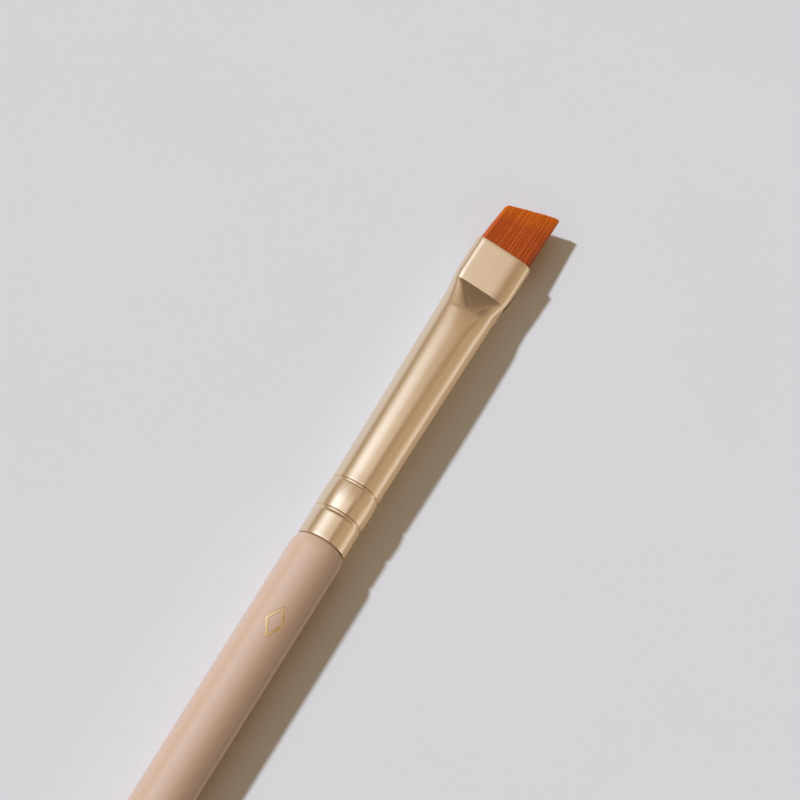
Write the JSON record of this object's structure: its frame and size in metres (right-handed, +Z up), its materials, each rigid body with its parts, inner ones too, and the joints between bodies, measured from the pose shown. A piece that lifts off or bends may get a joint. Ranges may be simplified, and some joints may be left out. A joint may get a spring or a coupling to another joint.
{
  "type": "eyeliner brush",
  "caption": "Slim flat eyeliner brush: round lacquered handle, crimped metal ferrule pressed flat at its end, and a slant-cut tuft of stiff orange filaments.",
  "frame": {"origin": "on the surface the brush lies on, under the middle of its overall length and width", "axes": "+X along the brush towards the bristle tip, +Y to the side where the slant-cut tuft is short, +Z up, square to the flat of the ferrule"},
  "size_m": [0.165, 0.0074, 0.0066],
  "materials": {
    "lacquered_wood": "semi-gloss beige lacquer over turned wood",
    "satin_gold_metal": "satin champagne gold anodising on drawn aluminium tube",
    "synthetic_filament": "fine tapered polyester filaments, orange brown, paler at the tips",
    "set_resin": "clear amber epoxy"
  },
  "bodies": {
    "root": {"handle": "lacquered_wood", "ferrule": "satin_gold_metal", "bristle_tuft": "synthetic_filament", "resin_plug": "set_resin"}
  },
  "joints": []
}
